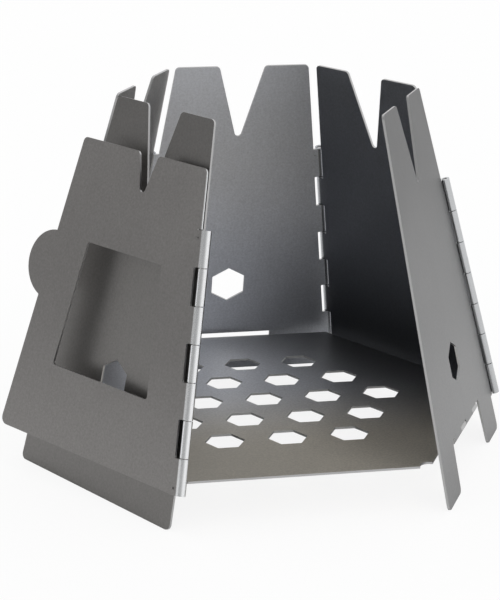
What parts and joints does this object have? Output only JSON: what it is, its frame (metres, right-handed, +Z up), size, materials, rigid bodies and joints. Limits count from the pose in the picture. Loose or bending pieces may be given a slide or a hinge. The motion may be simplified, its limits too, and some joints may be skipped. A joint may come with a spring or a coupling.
{
  "type": "folding twig stove",
  "caption": "Hexagonal folding twig stove of hinged sheet walls with pronged pot rests, a door with a window and a hinged, punched floor plate.",
  "frame": {"origin": "on the ground, under the centre of the hexagonal ring of walls", "axes": "+Z up; +Y from the doorway towards the rear wall"},
  "size_m": [0.1412, 0.1195, 0.0986],
  "materials": {
    "sheet": "bare titanium sheet, satin",
    "pin": "bare wire, polished"
  },
  "bodies": {
    "rear_wall": {"rear_panel": "sheet", "rear_right_hinge_pin": "pin", "rear_left_hinge_pin": "pin"},
    "rear_right_wall": {"rear_right_panel": "sheet"},
    "front_right_wall": {"front_right_panel": "sheet", "right_hinge_pin": "pin", "floor_hinge_pin": "pin"},
    "rear_left_wall": {"rear_left_panel": "sheet", "left_hinge_pin": "pin"},
    "front_left_wall": {"front_left_panel": "sheet"},
    "door": {"door_panel": "sheet", "door_hinge_pin": "pin"},
    "floor": {"floor_plate": "sheet"}
  },
  "joints": [
    {"name": "rear_right_hinge", "type": "hinge", "parent": "rear_wall", "child": "rear_right_wall", "pos_m": [0.03366, 0.0583, 0.00979], "axis": [-0.1369, -0.2371, 0.9618], "range_deg": [0, 58]},
    {"name": "right_hinge", "type": "hinge", "parent": "rear_right_wall", "child": "front_right_wall", "pos_m": [0.06732, 0, 0.00979], "axis": [-0.2738, 0, 0.9618], "range_deg": [0, 2]},
    {"name": "rear_left_hinge", "type": "hinge", "parent": "rear_wall", "child": "rear_left_wall", "pos_m": [-0.03366, 0.0583, 0.00979], "axis": [-0.1369, 0.2371, -0.9618], "range_deg": [0, 58]},
    {"name": "left_hinge", "type": "hinge", "parent": "rear_left_wall", "child": "front_left_wall", "pos_m": [-0.06732, 0, 0.00979], "axis": [-0.2738, 0, -0.9618], "range_deg": [0, 58]},
    {"name": "door_hinge", "type": "hinge", "parent": "front_left_wall", "child": "door", "pos_m": [-0.03366, -0.0583, 0.00979], "axis": [-0.1369, -0.2371, -0.9618], "range_deg": [-232, 4]},
    {"name": "floor_swing", "type": "hinge", "parent": "front_right_wall", "child": "floor", "pos_m": [0.04853, -0.02802, 0.01228], "axis": [0.5, 0.866, 0], "range_deg": [-75, 0]}
  ]
}
